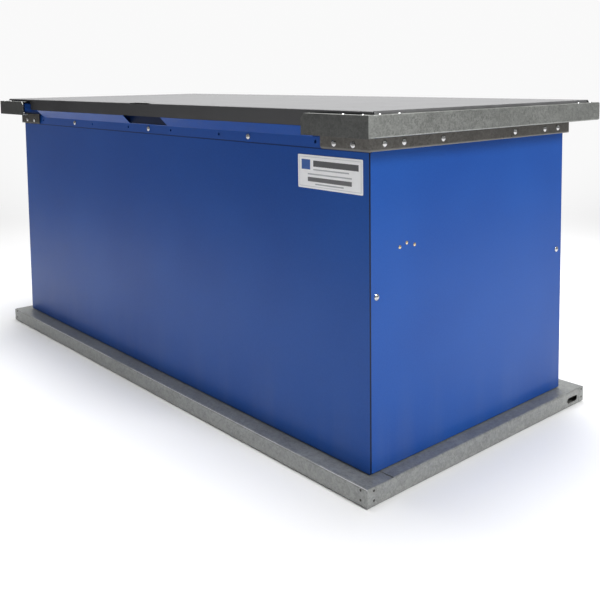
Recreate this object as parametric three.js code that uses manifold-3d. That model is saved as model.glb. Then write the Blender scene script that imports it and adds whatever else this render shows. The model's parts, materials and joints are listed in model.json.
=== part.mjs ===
// A bolt-together steel drop box: galvanised base frame, painted walls, hinged lid on gas struts.
// Millimetres. +X runs along the box to the right end, the front (latch side) faces -Y, +Z is up.
import * as THREE from 'three';
import { mergeVertices } from 'three/addons/utils/BufferGeometryUtils.js';
import Module from 'manifold-3d';

const wasm = await Module();
wasm.setup();

// ---- driving dimensions ----
const fit = 0.3; // gap left between touching pieces
const wallLength = 2106; // outside the walls, left to right
const wallDepth = 889; // outside the walls, front to back
const wallSheet = 1.6;
const wallFlange = 28; // width of the turned-in top and bottom edges
const sillHeight = 974; // top of the turned-in wall edge
const bendRadius = 1; // inside radius of a wall bend

const baseHeight = 50.8;
const baseSheet = 2.5;
const baseBend = 3;
const baseFlange = 100;
const baseReachEnd = 49; // how far the base stands out past each end wall
const baseReachFront = 61;
const baseReachBack = 69;
const crossWidth = 40;
const crossSpacing = 700;
const slotLength = 60;
const slotHeight = 18;
const slotFromBack = 35.5; // slot's end to the base's rear face
const slotCentre = 22;

const postLeg = 60;
const postSheet = 3;
const postBoltHeight = sillHeight - 459;
const postBoltInset = 26.5; // from the long walls' outer faces
const postHoleDepth = 15;

const lipBottom = sillHeight - 85;
const lipBend = sillHeight - 56; // where the lip starts to flare
const lipFlare = 30; // how far the flare goes out and up
const lipHalf = 849; // half length of the flare
const lipBoltHeight = sillHeight - 69;
const lipBoltSpacing = 563;
const lipHoleOffsets = [141, 415, 856];
const notchHalf = 125; // half length of the hand notch in the flare
const notchFoot = 2; // height of flare left under the notch

const rimTop = sillHeight - 44;
const rimStandoffEnd = 11;
const rimStandoffFront = 8.7;
const rimPastBack = 18.7;
const rimTabReach = 181; // length of the strip's leg round the front corner
const rimTabRound = 8;
const rimBoltsFromCorner = [59, 129];

const lidTop = sillHeight + 20;
const lidSheet = 1.6;
const lidFrontReach = 45.3; // sheet's front flange past the front wall
const lidBackReach = 58.7;
const lidEndReach = 56.5;
const lidFlangeDepth = 44.5;
const lidBackDepth = 18;
const lidBend = 4;
const lidBackBend = 10;
const frameSheet = 2;
const frameTop = sillHeight + 11;
const frameHeight = 56;
const frameEndReach = 74; // end channel past the end wall
const frameFrontReach = 78.2;
const frameBackReach = 93.3;
const frameFlange = 50;
const frameTabLength = 242;
const frameTabFlange = 20;
const frameChamfer = 12;
const stiffenerSpacing = 470;
const stiffenerDepth = 25;
const stiffenerWidth = 40;
const stiffenerFoot = 25;
const stiffenerMargin = 60; // from the walls' outer faces to the stiffener ends
const stiffenerBehindLatch = 70;

const handHoleLeft = 55; // from the box's middle to the hole's ends
const handHoleRight = 75;
const handHoleDepth = 26;
const handHoleDrop = 4; // how far the hole runs down into the front bend

const hingeSpacing = 750;
const hingeWidth = 120;
const knuckleRadius = 8;
const pinRadius = 4;
const runningGap = 0.3; // pin to bore
const leafSheet = 3;
const leafDrop = 48;
const knuckleShare = 0.4; // middle knuckle's share of the hinge width

const strutInset = 53; // strut's centre line inside each end wall's outer face
const strutFootFromFront = 141.5; // lower pivot behind the front wall's outer face
const strutFootHeight = sillHeight - 340;
const strutLidReach = 300; // upper pivot ahead of the hinge axis
const strutTopHeight = sillHeight - 9;
const strutTubeRadius = 11;
const strutTubeWall = 2;
const strutRodRadius = 5;
const strutTubeShare = 0.92; // tube's end as a share of the closed length
const strutRodStart = 110;
const strutEyeWidth = 12;
const strutEyeRadius = 9;
const openPivotGap = 0.5;
const strutNeck = 4; // plain length between an eye and the tube
const strutGland = 12;
const strutTubeBase = 6;
const strutSlide = 0.4; // rod and piston to the tube
const strutFootHalfLength = 42;
const strutFootHalfHeight = 22;
const strutHeadHalf = 20;
const strutHeadDrop = 8;
const strutHeadFlange = 30;
const strutHeadGap = 5; // tube to bracket

const latchX = 35; // latch's centre, right of the box's middle
const latchPivotFromFront = 44.5;
const latchPivotHeight = sillHeight + 4;
const latchClearance = 8; // beside the lever, in the wall's notch
const housingHalf = 74;
const housingFront = 12; // ahead of the pivot
const housingBack = 50;
const cheekHalf = 12;
const leverWidth = 26;
const leverCollar = 2;
const leverHub = 9;
const armBelow = 2; // the lever's arm, below and above the pivot's height
const armAbove = 5;
const hookWidth = 22;
const hookSheet = 8;
const hookDrop = 48;
const noseReach = 15.3;
const noseHeight = 8;
const keeperBarRadius = 5;
const keeperGap = 1; // hook nose to keeper bar with the lever lifted
const keeperHeight = sillHeight - 26;
const keeperBottom = sillHeight - 59;
const keeperSide = 9; // plate past the hook, each side
const keeperCheek = 8;
const keeperNose = 7;
const paddleWidth = 67;
const paddleDrop = 9.4; // below the lid sheet
const paddleMargin = 5; // to the hand hole's right end
const paddleWeb = 5;
const sideClearance = 3;

const sealWidth = 18;
const sealHeight = 17.6;
const sealNotchMargin = 10;
const labelLength = 248;
const labelHeight = 91;
const labelFromRight = 20;
const labelBottom = sillHeight - 197;
const labelSheet = 0.8;
const boltRadius = 4;
const boltHoleRadius = 4.5;
const boltHeadRadius = 8.8;
const boltHeadHeight = 4.4;
const boltHeadRim = 1;
const boltPastNut = 3;
const nutRadius = 7.5;
const nutHeight = 6.5;
const over = 1; // how far a cutter or a joining piece runs on

// ---- materials ----
const finish = (color, roughness, metalness) => new THREE.MeshStandardMaterial({
  color, roughness, metalness,
});
const bluePaint = finish(0x1d3f9a, 0.38, 0.1);
const galvanised = finish(0x8e918e, 0.45, 0.85);
const lidSteel = finish(0xb4b5b4, 0.5, 0.8);
const zinc = finish(0xc9ccd0, 0.3, 0.95);
const blackPaint = finish(0x1a1a1c, 0.4, 0.1);
const rubber = finish(0x151515, 0.9, 0);
const labelFilm = finish(0xe6e6e6, 0.5, 0);

// ---- solids ----
function toSolid(geometry) {
  const bare = geometry.clone();
  bare.deleteAttribute('normal');
  bare.deleteAttribute('uv');
  const merged = mergeVertices(bare, 1e-4);
  const vertProperties = new Float32Array(merged.attributes.position.array);
  const triVerts = new Uint32Array(merged.index.array);
  return new wasm.Manifold(new wasm.Mesh({ numProp: 3, vertProperties, triVerts }));
}

function toGeometry(solid) {
  const { vertProperties, triVerts } = solid.getMesh();
  const geometry = new THREE.BufferGeometry();
  geometry.setAttribute('position', new THREE.BufferAttribute(vertProperties, 3));
  geometry.setIndex(new THREE.BufferAttribute(triVerts, 1));
  geometry.computeVertexNormals();
  return geometry;
}

function join(first, ...others) {
  return toGeometry(others.reduce((solid, other) => solid.add(toSolid(other)), toSolid(first)));
}

function cut(first, ...cutters) {
  return toGeometry(cutters.reduce((solid, other) => solid.subtract(toSolid(other)), toSolid(first)));
}

// A box between two corners, given in any order.
function block(x0, x1, y0, y1, z0, z1) {
  const geometry = new THREE.BoxGeometry(Math.abs(x1 - x0), Math.abs(y1 - y0), Math.abs(z1 - z0));
  return geometry.translate((x0 + x1) / 2, (y0 + y1) / 2, (z0 + z1) / 2);
}

function extrude(shape, length) {
  return new THREE.ExtrudeGeometry(shape, { depth: length, bevelEnabled: false, curveSegments: 2 });
}

// Extrusions of a YZ section along X, and of an XZ section along Y.
function alongX(shape, x0, x1) {
  const turn = new THREE.Matrix4().makeBasis(
    new THREE.Vector3(0, 1, 0), new THREE.Vector3(0, 0, 1), new THREE.Vector3(1, 0, 0));
  return extrude(shape, Math.abs(x1 - x0)).applyMatrix4(turn).translate(Math.min(x0, x1), 0, 0);
}

function alongY(shape, y0, y1) {
  const turn = new THREE.Matrix4().makeBasis(
    new THREE.Vector3(1, 0, 0), new THREE.Vector3(0, 0, 1), new THREE.Vector3(0, -1, 0));
  return extrude(shape, Math.abs(y1 - y0)).applyMatrix4(turn).translate(0, Math.max(y0, y1), 0);
}

function rod(radius, from, to, segments = 16) {
  const start = new THREE.Vector3(...from);
  const end = new THREE.Vector3(...to);
  const axis = end.clone().sub(start);
  const geometry = new THREE.CylinderGeometry(radius, radius, axis.length(), segments);
  geometry.applyQuaternion(new THREE.Quaternion().setFromUnitVectors(new THREE.Vector3(0, 1, 0),
    axis.clone().normalize()));
  const middle = start.add(end).multiplyScalar(0.5);
  return geometry.translate(middle.x, middle.y, middle.z);
}

// Adds a corner to a shape as a round bend.
function addBend(shape, before, corner, after, radius) {
  const toBefore = before.clone().sub(corner).normalize();
  const toAfter = after.clone().sub(corner).normalize();
  const half = Math.acos(toBefore.dot(toAfter)) / 2;
  const start = corner.clone().addScaledVector(toBefore, radius / Math.tan(half));
  const end = corner.clone().addScaledVector(toAfter, radius / Math.tan(half));
  const middle = toBefore.clone().add(toAfter).normalize();
  const centre = corner.clone().addScaledVector(middle, radius / Math.sin(half));
  const clockwise = toBefore.cross(toAfter) > 0;
  const startAngle = Math.atan2(start.y - centre.y, start.x - centre.x);
  const endAngle = Math.atan2(end.y - centre.y, end.x - centre.x);
  shape.absarc(centre.x, centre.y, radius, startAngle, endAngle, clockwise);
}

// The section of a bent sheet: it lies to the left of the path, or to the right if thickness is negative.
function bentStrip(points, thickness, radius) {
  const path = points.map(([u, v]) => new THREE.Vector2(u, v));
  const radii = path.map((_, i) => (Array.isArray(radius) ? radius[i - 1] ?? radius[0] : radius));
  const left = path.map((point, i) => {
    const next = Math.min(i + 1, path.length - 1);
    const last = Math.max(i - 1, 0);
    const ahead = path[next].clone().sub(path[next - 1]).normalize();
    const behind = path[last + 1].clone().sub(path[last]).normalize();
    const miter = new THREE.Vector2(-ahead.y - behind.y, ahead.x + behind.x).normalize();
    const across = new THREE.Vector2(-ahead.y, ahead.x);
    return point.clone().addScaledVector(miter, thickness / miter.dot(across));
  });
  const turnsIn = (i) => {
    const turn = path[i].clone().sub(path[i - 1]).cross(path[i + 1].clone().sub(path[i]));
    return turn * thickness > 0;
  };
  const shape = new THREE.Shape();
  shape.moveTo(path[0].x, path[0].y);
  for (let i = 1; i < path.length - 1; i += 1) {
    const bend = turnsIn(i) ? radii[i] + Math.abs(thickness) : radii[i];
    addBend(shape, path[i - 1], path[i], path[i + 1], bend);
  }
  shape.lineTo(path.at(-1).x, path.at(-1).y);
  shape.lineTo(left.at(-1).x, left.at(-1).y);
  for (let i = path.length - 2; i > 0; i -= 1) {
    const bend = turnsIn(i) ? radii[i] : radii[i] + Math.abs(thickness);
    addBend(shape, left[i + 1], left[i], left[i - 1], bend);
  }
  shape.lineTo(left[0].x, left[0].y);
  shape.closePath();
  return shape;
}

const mesh = (name, geometry, material) => {
  const piece = new THREE.Mesh(geometry, material);
  piece.name = name;
  return piece;
};
const sides = [['left', -1], ['right', 1]];

// ---- shared places ----
const halfLength = wallLength / 2;
const halfDepth = wallDepth / 2;
const sillBottom = sillHeight - wallSheet;
const wallBottom = baseHeight + fit;
const floorBottom = wallBottom + wallSheet + fit;
const floorTop = floorBottom + wallSheet;
const innerLength = halfLength - wallSheet - fit; // half sizes that fit inside the walls
const innerDepth = halfDepth - wallSheet - fit;
const baseHalf = halfLength + baseReachEnd;
const baseFront = -halfDepth - baseReachFront;
const baseBack = halfDepth + baseReachBack;
const lidUnder = lidTop - lidSheet;
const lidFront = -halfDepth - lidFrontReach;
const lidBack = halfDepth + lidBackReach;
const lidHalf = halfLength + lidEndReach;
const frameHalf = halfLength + frameEndReach;
const frameBottom = frameTop - frameHeight;
const frameFront = -halfDepth - frameFrontReach;
const frameTabStart = frameHalf - frameTabLength;
const rimFace = halfLength + rimStandoffEnd;
const rimFront = -halfDepth - rimStandoffFront;
const rimTabStart = rimFace - rimTabReach - fit;
const lipBack = -halfDepth - fit;
const lipFace = lipBack - wallSheet;
const lipEnd = halfLength - over;
const backStrip = halfDepth + fit + wallSheet;
const hingeY = backStrip + fit + knuckleRadius;
const hingeZ = lidUnder - fit - knuckleRadius;
const lidLeafEnd = lidBack - lidSheet - lidBackBend - fit; // where the sheet's rear bend begins
const latchY = -halfDepth + latchPivotFromFront;
const hookFront = latchY - hookSheet / 2 - leverCollar;
const leverEnd = leverWidth / 2 + leverCollar;
const latchBore = leverEnd + sideClearance + leafSheet + leverCollar;
const rimBoltXs = rimBoltsFromCorner.map((inset) => rimFace - inset);

const boltHole = (x, y0, y1, z) => rod(boltHoleRadius, [x, y0, z], [x, y1, z]);
const acrossFront = (x, z) => boltHole(x, rimFront - over, -halfDepth + postLeg, z);
const mirrored = (list) => list.flatMap((x) => [-x, x]);
const lipBoltXs = [-lipBoltSpacing, 0, lipBoltSpacing];
const lipHoles = [...lipBoltXs, ...mirrored(lipHoleOffsets)].map((x) => acrossFront(x, lipBoltHeight));
const rimHoles = mirrored(rimBoltXs).map((x) => acrossFront(x, lipBoltHeight));
const postHoles = sides.flatMap(([, s]) => [-1, 1].map((t) => {
  const y = t * (halfDepth - postBoltInset);
  return rod(boltHoleRadius, [s * (halfLength + over), y, postBoltHeight],
    [s * (halfLength - postHoleDepth), y, postBoltHeight]);
}));

// ---- base frame ----
function makeBase() {
  const group = new THREE.Group();
  const channel = (u0, u1, thickness) => bentStrip(
    [[u0, baseHeight], [u1, baseHeight], [u1, 0], [u0, 0]], thickness, baseBend);
  const run = baseHalf - baseSheet - fit;
  const frontInner = baseFront + baseFlange;
  const backInner = baseBack - baseFlange;
  const front = alongX(channel(frontInner, baseFront, baseSheet), -run, run);
  const back = alongX(channel(backInner, baseBack, -baseSheet), -run, run);
  group.add(mesh('base_front_channel', front, galvanised));
  group.add(mesh('base_back_channel', back, galvanised));
  for (const [side, s] of sides) {
    const section = channel(s * (baseHalf - baseFlange), s * baseHalf, -s * baseSheet);
    const webInside = s * (baseHalf - baseSheet);
    const flangeEnd = s * (baseHalf - baseFlange - over);
    const slotEnd = baseBack - slotFromBack - slotHeight / 2;
    const slotStart = slotEnd - slotLength + slotHeight;
    const slot = [s * (baseHalf - baseSheet - over), s * (baseHalf + over)];
    const end = cut(alongY(section, baseFront, baseBack),
      block(flangeEnd, webInside, baseFront - over, frontInner + fit, -over, baseHeight + over),
      block(flangeEnd, webInside, backInner - fit, baseBack + over, -over, baseHeight + over),
      block(slot[0], slot[1], slotStart, slotEnd, slotCentre - slotHeight / 2, slotCentre + slotHeight / 2),
      rod(slotHeight / 2, [slot[0], slotStart, slotCentre], [slot[1], slotStart, slotCentre]),
      rod(slotHeight / 2, [slot[0], slotEnd, slotCentre], [slot[1], slotEnd, slotCentre]));
    group.add(mesh(`base_${side}_channel`, end, galvanised));
  }
  for (let i = -1; i <= 1; i += 1) {
    const x = i * crossSpacing;
    const section = channel(x + crossWidth / 2, x - crossWidth / 2, baseSheet);
    const member = alongY(section, frontInner + fit, backInner - fit);
    group.add(mesh(`base_cross_member_${i + 2}`, member, galvanised));
  }
  const floor = block(-innerLength, innerLength, -innerDepth, innerDepth, floorBottom, floorTop);
  group.add(mesh('floor_panel', floor, galvanised));
  return group;
}

// ---- walls and corner posts ----
function makeWalls() {
  const group = new THREE.Group();
  const flangeStop = halfLength - wallSheet - fit - bendRadius;
  for (const [side, t] of [['front', -1], ['back', 1]]) {
    const section = bentStrip([[t * (halfDepth - wallFlange), wallBottom], [t * halfDepth, wallBottom],
      [t * halfDepth, sillHeight], [t * (halfDepth - wallFlange), sillHeight]], t * wallSheet, bendRadius);
    const inner = t * (halfDepth - wallSheet);
    const flangeEnd = t * (halfDepth - wallFlange - over);
    const corners = sides.flatMap(([, s]) => [wallBottom, sillBottom].map((z) => block(
      s * flangeStop, s * (halfLength + over), inner, flangeEnd,
      z - 2 * bendRadius, z + wallSheet + 2 * bendRadius)));
    let panel = cut(alongX(section, -halfLength, halfLength), ...corners);
    if (side === 'front') {
      const gap = leverWidth / 2 + latchClearance;
      const latchNotch = block(latchX - gap, latchX + gap, -halfDepth - over,
        -halfDepth + wallFlange + over, keeperHeight + 2 * over, sillHeight + over);
      panel = cut(panel, latchNotch, ...lipHoles, ...rimHoles);
    }
    group.add(mesh(`${side}_panel`, panel, bluePaint));
  }
  for (const [side, s] of sides) {
    const flangeEnd = s * (halfLength - wallFlange);
    const section = bentStrip([[flangeEnd, wallBottom], [s * halfLength, wallBottom],
      [s * halfLength, sillHeight], [flangeEnd, sillHeight]], s * wallSheet, bendRadius);
    const inner = s * (halfLength - wallSheet - bendRadius);
    const reach = halfDepth - wallFlange - fit;
    const corners = [-1, 1].flatMap((t) => [wallBottom, sillBottom].map((z) => block(
      flangeEnd - s, inner, t * reach, t * halfDepth, z - 2 * bendRadius, z + wallSheet + 2 * bendRadius)));
    const panel = cut(alongY(section, -innerDepth, innerDepth), ...corners, ...postHoles);
    group.add(mesh(`${side}_end_panel`, panel, bluePaint));
  }
  for (const [side, s] of sides) {
    for (const [face, t] of [['front', -1], ['back', 1]]) {
      const section = bentStrip([[s * (innerLength - postLeg), t * innerDepth],
        [s * innerLength, t * innerDepth], [s * innerLength, t * (innerDepth - postLeg)]],
      -s * t * postSheet, postSheet);
      const height = sillBottom - fit - floorTop - fit;
      const post = extrude(section, height).translate(0, 0, floorTop + fit);
      group.add(mesh(`corner_post_${face}_${side}`, cut(post, ...postHoles, ...rimHoles), galvanised));
    }
  }
  return group;
}

// ---- lip, rim strips and seal round the mouth ----
function makeRim() {
  const group = new THREE.Group();
  const lipSection = bentStrip([[lipFace, lipBottom], [lipFace, lipBend],
    [lipFace - lipFlare, lipBend + lipFlare]], -wallSheet, bendRadius);
  const flareOut = lipFace - lipFlare - wallSheet - over;
  const flareTop = lipBend + lipFlare + wallSheet + over;
  const flareEnds = sides.map(([, s]) => block(s * lipHalf, s * (halfLength + over),
    flareOut, lipBack, lipBend, flareTop));
  const notch = block(-notchHalf, notchHalf, flareOut, lipBack, lipBend + notchFoot, flareTop);
  const lip = cut(alongX(lipSection, -lipEnd, lipEnd), ...flareEnds, notch, ...lipHoles, ...rimHoles);
  group.add(mesh('front_lip', lip, bluePaint));
  const strip = block(-lipEnd, lipEnd, halfDepth + fit, backStrip, lipBottom, sillBottom);
  group.add(mesh('back_rim_strip', strip, bluePaint));
  for (const [side, s] of sides) {
    const wall = s * (halfLength + fit);
    const section = bentStrip([[wall, lipBottom], [s * rimFace, lipBottom], [s * rimFace, rimTop],
      [wall, rimTop]], s * wallSheet, bendRadius);
    const tabStart = s * rimTabStart;
    const tab = new THREE.Shape();
    tab.moveTo(tabStart, rimTop);
    tab.lineTo(tabStart, lipBottom + rimTabRound);
    tab.absarc(tabStart + s * rimTabRound, lipBottom + rimTabRound, rimTabRound,
      s > 0 ? Math.PI : 0, s > 0 ? 1.5 * Math.PI : -Math.PI / 2, s < 0);
    tab.lineTo(s * rimFace, lipBottom);
    tab.lineTo(s * rimFace, rimTop);
    tab.closePath();
    const rimStrip = join(alongY(section, rimFront, halfDepth + rimPastBack),
      alongY(tab, rimFront, rimFront + wallSheet),
      block(tabStart + s * rimTabRound, s * rimFace, rimFront, lipFace - fit,
        lipBottom, lipBottom + wallSheet),
      block(tabStart, s * rimFace, rimFront, lipFace - fit, rimTop - wallSheet, rimTop));
    group.add(mesh(`${side}_rim_strip`, cut(rimStrip, ...rimHoles), galvanised));
  }
  const seal = new THREE.Shape();
  const sealX = halfLength - (wallFlange - sealWidth) / 2 - bendRadius;
  const sealY = halfDepth - (wallFlange - sealWidth) / 2 - bendRadius;
  seal.moveTo(-sealX, -sealY);
  seal.lineTo(sealX, -sealY);
  seal.lineTo(sealX, sealY);
  seal.lineTo(-sealX, sealY);
  const mouth = new THREE.Path();
  mouth.moveTo(-sealX + sealWidth, -sealY + sealWidth);
  mouth.lineTo(-sealX + sealWidth, sealY - sealWidth);
  mouth.lineTo(sealX - sealWidth, sealY - sealWidth);
  mouth.lineTo(sealX - sealWidth, -sealY + sealWidth);
  seal.holes.push(mouth);
  const gap = leverWidth / 2 + sealNotchMargin;
  const ring = cut(extrude(seal, sealHeight).translate(0, 0, sillHeight + fit),
    block(latchX - gap, latchX + gap, -halfDepth - over, -halfDepth + wallFlange + over,
      sillHeight, lidTop));
  group.add(mesh('mouth_seal', ring, rubber));
  return group;
}

// ---- keeper and label on the front panel ----
function makeKeeper() {
  const inside = -innerDepth;
  const plateHalf = hookWidth / 2 + keeperSide;
  const barY = hookFront + noseReach + keeperGap + keeperBarRadius;
  const barHalf = plateHalf - over;
  const cheek = (x) => block(x, x + leafSheet, inside, barY + keeperNose,
    keeperHeight - keeperCheek, keeperHeight + keeperCheek);
  return join(block(latchX - plateHalf, latchX + plateHalf, inside, inside + leafSheet,
    keeperBottom, keeperHeight),
  cheek(latchX - plateHalf), cheek(latchX + plateHalf - leafSheet),
  rod(keeperBarRadius, [latchX - barHalf, barY, keeperHeight], [latchX + barHalf, barY, keeperHeight]));
}

function makeLabel() {
  const right = halfLength - labelFromRight;
  return block(right - labelLength, right, lipBack - labelSheet, lipBack,
    labelBottom, labelBottom + labelHeight);
}

// ---- hinges: each has a leaf on the box, a leaf on the lid and a pin ----
const hingeNames = ['left', 'centre', 'right'];
const hingeX = (i) => (i - 1) * hingeSpacing;
const lidKnuckleHalf = hingeWidth * knuckleShare / 2;
const hingeBore = (x) => rod(pinRadius + runningGap, [x - hingeWidth, hingeY, hingeZ],
  [x + hingeWidth, hingeY, hingeZ]);

function makeBodyLeaf(x) {
  const plateIn = hingeY - knuckleRadius;
  const knuckles = [-1, 1].map((s) => rod(knuckleRadius, [x + s * (lidKnuckleHalf + fit), hingeY, hingeZ],
    [x + s * hingeWidth / 2, hingeY, hingeZ]));
  const solid = join(block(x - hingeWidth / 2, x + hingeWidth / 2, plateIn, plateIn + leafSheet,
    hingeZ - leafDrop, hingeZ), ...knuckles);
  return cut(solid, hingeBore(x), block(x - lidKnuckleHalf - fit, x + lidKnuckleHalf + fit,
    plateIn - over, hingeY, hingeZ - knuckleRadius - 2 * fit, hingeZ + over));
}

function makeLidLeaf(x) {
  const top = hingeZ + knuckleRadius;
  const knuckle = rod(knuckleRadius, [x - lidKnuckleHalf, hingeY, hingeZ],
    [x + lidKnuckleHalf, hingeY, hingeZ]);
  const solid = join(knuckle,
    block(x - lidKnuckleHalf, x + lidKnuckleHalf, hingeY, lidLeafEnd, top - leafSheet, top),
    block(x - hingeWidth / 2, x + hingeWidth / 2, hingeY + knuckleRadius + 2 * fit, lidLeafEnd,
      top - leafSheet, top));
  return cut(solid, hingeBore(x));
}

// ---- lid ----
function makeLid() {
  const group = new THREE.Group();
  const section = bentStrip([[lidFront, lidTop - lidFlangeDepth], [lidFront, lidTop], [lidBack, lidTop],
    [lidBack, lidTop - lidBackDepth]], -lidSheet, [lidBend, lidBackBend]);
  const endFlanges = sides.map(([, s]) => block(s * (lidHalf - lidSheet), s * lidHalf,
    lidFront + lidBend + lidSheet, lidBack - lidBackBend - lidSheet, frameTop + fit, lidTop - lidSheet / 2));
  const behindTabs = sides.map(([, s]) => block(s * frameTabStart, s * (lidHalf + over),
    lidFront - over, lidFront + lidBend, lidTop - lidFlangeDepth - over, frameTop + lidSheet));
  const overChannels = sides.map(([, s]) => block(s * (frameHalf - frameFlange - over),
    s * (lidHalf + over), lidBack - lidBackBend, lidBack + over, lidTop - lidBackDepth - over,
    frameTop + fit));
  const handHole = block(-handHoleLeft, handHoleRight, lidFront - over, lidFront + handHoleDepth,
    lidTop - handHoleDrop, lidTop + over);
  const sheet = cut(join(alongX(section, -lidHalf, lidHalf), ...endFlanges), ...behindTabs, ...overChannels,
    handHole);
  group.add(mesh('lid_sheet', sheet, lidSteel));
  for (const [side, s] of sides) {
    const flangeEnd = s * (frameHalf - frameFlange);
    const channel = bentStrip([[flangeEnd, frameBottom], [s * frameHalf, frameBottom],
      [s * frameHalf, frameTop],
      [flangeEnd, frameTop]], s * frameSheet, 2 * bendRadius);
    const start = s * frameTabStart;
    const tab = new THREE.Shape();
    tab.moveTo(start, frameBottom);
    tab.lineTo(s * frameHalf, frameBottom);
    tab.lineTo(s * frameHalf, frameTop);
    tab.lineTo(start + s * frameChamfer, frameTop);
    tab.lineTo(start, frameTop - frameChamfer);
    tab.closePath();
    const endChannel = join(alongY(channel, frameFront, halfDepth + frameBackReach),
      alongY(tab, frameFront, frameFront + frameSheet),
      block(start + s * frameChamfer, s * frameHalf, frameFront, frameFront + frameTabFlange,
        frameTop - frameSheet, frameTop),
      block(start, s * frameHalf, frameFront, frameFront + frameTabFlange, frameBottom,
        frameBottom + frameSheet));
    group.add(mesh(`lid_${side}_channel`, endChannel, galvanised));
  }
  for (let i = -1; i <= 1; i += 1) {
    const x = i * stiffenerSpacing;
    const top = lidUnder - fit;
    const half = stiffenerWidth / 2;
    const low = top - stiffenerDepth;
    const hat = bentStrip([[x - half - stiffenerFoot, top], [x - half, top], [x - half, low],
      [x + half, low], [x + half, top], [x + half + stiffenerFoot, top]], -lidSheet, bendRadius);
    const front = i === 0 ? latchY + stiffenerBehindLatch : -halfDepth + stiffenerMargin;
    group.add(mesh(`lid_stiffener_${i + 2}`, alongY(hat, front, halfDepth - stiffenerMargin), galvanised));
  }
  return group;
}

// ---- latch: a housing under the lid, a hooked lever and its pin ----
const latchAxisBore = () => rod(pinRadius + runningGap, [latchX - latchBore, latchY, latchPivotHeight],
  [latchX + latchBore, latchY, latchPivotHeight]);

function makeLatchHousing() {
  const top = lidUnder - fit;
  const cheekIn = leverEnd + sideClearance;
  const front = latchY - housingFront;
  const cheek = (x) => block(x, x + leafSheet, front, latchY + cheekHalf, latchPivotHeight - cheekHalf, top);
  const plate = block(-housingHalf, housingHalf, front, latchY + housingBack, top - leafSheet, top);
  return cut(join(plate, cheek(latchX - cheekIn - leafSheet), cheek(latchX + cheekIn)), latchAxisBore());
}

// The lever is drawn lifted, with its hook clear of the keeper bar.
function makeLatchLever() {
  const half = leverWidth / 2;
  const hookHalf = hookWidth / 2;
  const hookBottom = latchPivotHeight - hookDrop;
  const paddleBack = lidFront + handHoleDepth - fit;
  const paddleTop = lidUnder - paddleDrop;
  const paddleLeft = handHoleRight - paddleMargin - paddleWidth;
  const hub = rod(leverHub, [latchX - leverEnd, latchY, latchPivotHeight],
    [latchX + leverEnd, latchY, latchPivotHeight]);
  const arm = block(latchX - half, latchX + half, paddleBack - paddleWeb, latchY,
    latchPivotHeight - armBelow, latchPivotHeight + armAbove);
  const paddle = block(paddleLeft, paddleLeft + paddleWidth, lidFront + 2 * lidSheet, paddleBack,
    paddleTop - leafSheet, paddleTop);
  const hook = block(latchX - hookHalf, latchX + hookHalf, hookFront, hookFront + hookSheet,
    hookBottom, latchPivotHeight);
  const nose = block(latchX - hookHalf, latchX + hookHalf, hookFront, hookFront + noseReach,
    hookBottom, hookBottom + noseHeight);
  return cut(join(hub, arm, paddle, hook, nose), latchAxisBore());
}

// ---- gas struts: drawn along +Y from the lower pivot, then turned into place ----
const strutFootY = -halfDepth + strutFootFromFront;
const strutTopY = hingeY - strutLidReach;
const strutRun = strutTopY - strutFootY;
const strutRise = strutTopHeight - strutFootHeight;
const strutLength = Math.hypot(strutRun, strutRise);
const strutAngle = Math.atan2(strutRise, strutRun);
const strutTubeEnd = strutLength * strutTubeShare;
const strutX = halfLength - strutInset;

function makeStrutTube() {
  const start = strutEyeRadius + strutNeck;
  const bore = strutTubeRadius - strutTubeWall;
  const gland = strutRodRadius + strutSlide;
  const profile = [[0, start], [strutTubeRadius, start], [strutTubeRadius, strutTubeEnd],
    [gland, strutTubeEnd],
    [gland, strutTubeEnd - strutGland], [bore, strutTubeEnd - strutGland],
    [bore, start + strutTubeBase], [0, start + strutTubeBase]];
  const tube = new THREE.LatheGeometry(profile.map(([r, t]) => new THREE.Vector2(r, t)), 16);
  const half = strutEyeWidth / 2;
  const eye = rod(strutEyeRadius, [-half, 0, 0], [half, 0, 0]);
  const neck = rod(strutRodRadius, [0, strutEyeRadius - strutNeck, 0], [0, start + over, 0]);
  return cut(join(tube, eye, neck), rod(pinRadius + runningGap, [-half - over, 0, 0], [half + over, 0, 0]));
}

function makeStrutRod() {
  const piston = strutTubeRadius - strutTubeWall - strutSlide;
  const pistonEnd = strutRodStart + strutGland;
  const end = strutLength - strutEyeRadius + strutNeck;
  const profile = [[0, strutRodStart], [piston, strutRodStart], [piston, pistonEnd],
    [strutRodRadius, pistonEnd], [strutRodRadius, end], [0, end]];
  const shaft = new THREE.LatheGeometry(profile.map(([r, t]) => new THREE.Vector2(r, t)), 16);
  const half = strutEyeWidth / 2;
  const eye = rod(strutEyeRadius, [-half, strutLength, 0], [half, strutLength, 0]);
  return cut(join(shaft, eye), rod(pinRadius + runningGap, [-half - over, strutLength, 0],
    [half + over, strutLength, 0]));
}

// Foot bracket: a plate on the end wall with the pin that carries the strut's lower eye.
function makeStrutFoot(s) {
  const wall = s * innerLength;
  const plate = block(wall, wall - s * leafSheet, strutFootY - strutFootHalfLength,
    strutFootY + strutFootHalfLength, strutFootHeight - strutFootHalfHeight,
    strutFootHeight + strutFootHalfHeight);
  const pinEnd = s * (strutX - strutEyeWidth / 2 - 2 * over);
  const shoulder = s * (strutX + strutEyeWidth / 2 + openPivotGap);
  return join(plate, rod(strutEyeRadius, [wall - s, strutFootY, strutFootHeight],
    [shoulder, strutFootY, strutFootHeight]),
  rod(pinRadius, [wall - s, strutFootY, strutFootHeight], [pinEnd, strutFootY, strutFootHeight]));
}

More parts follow.
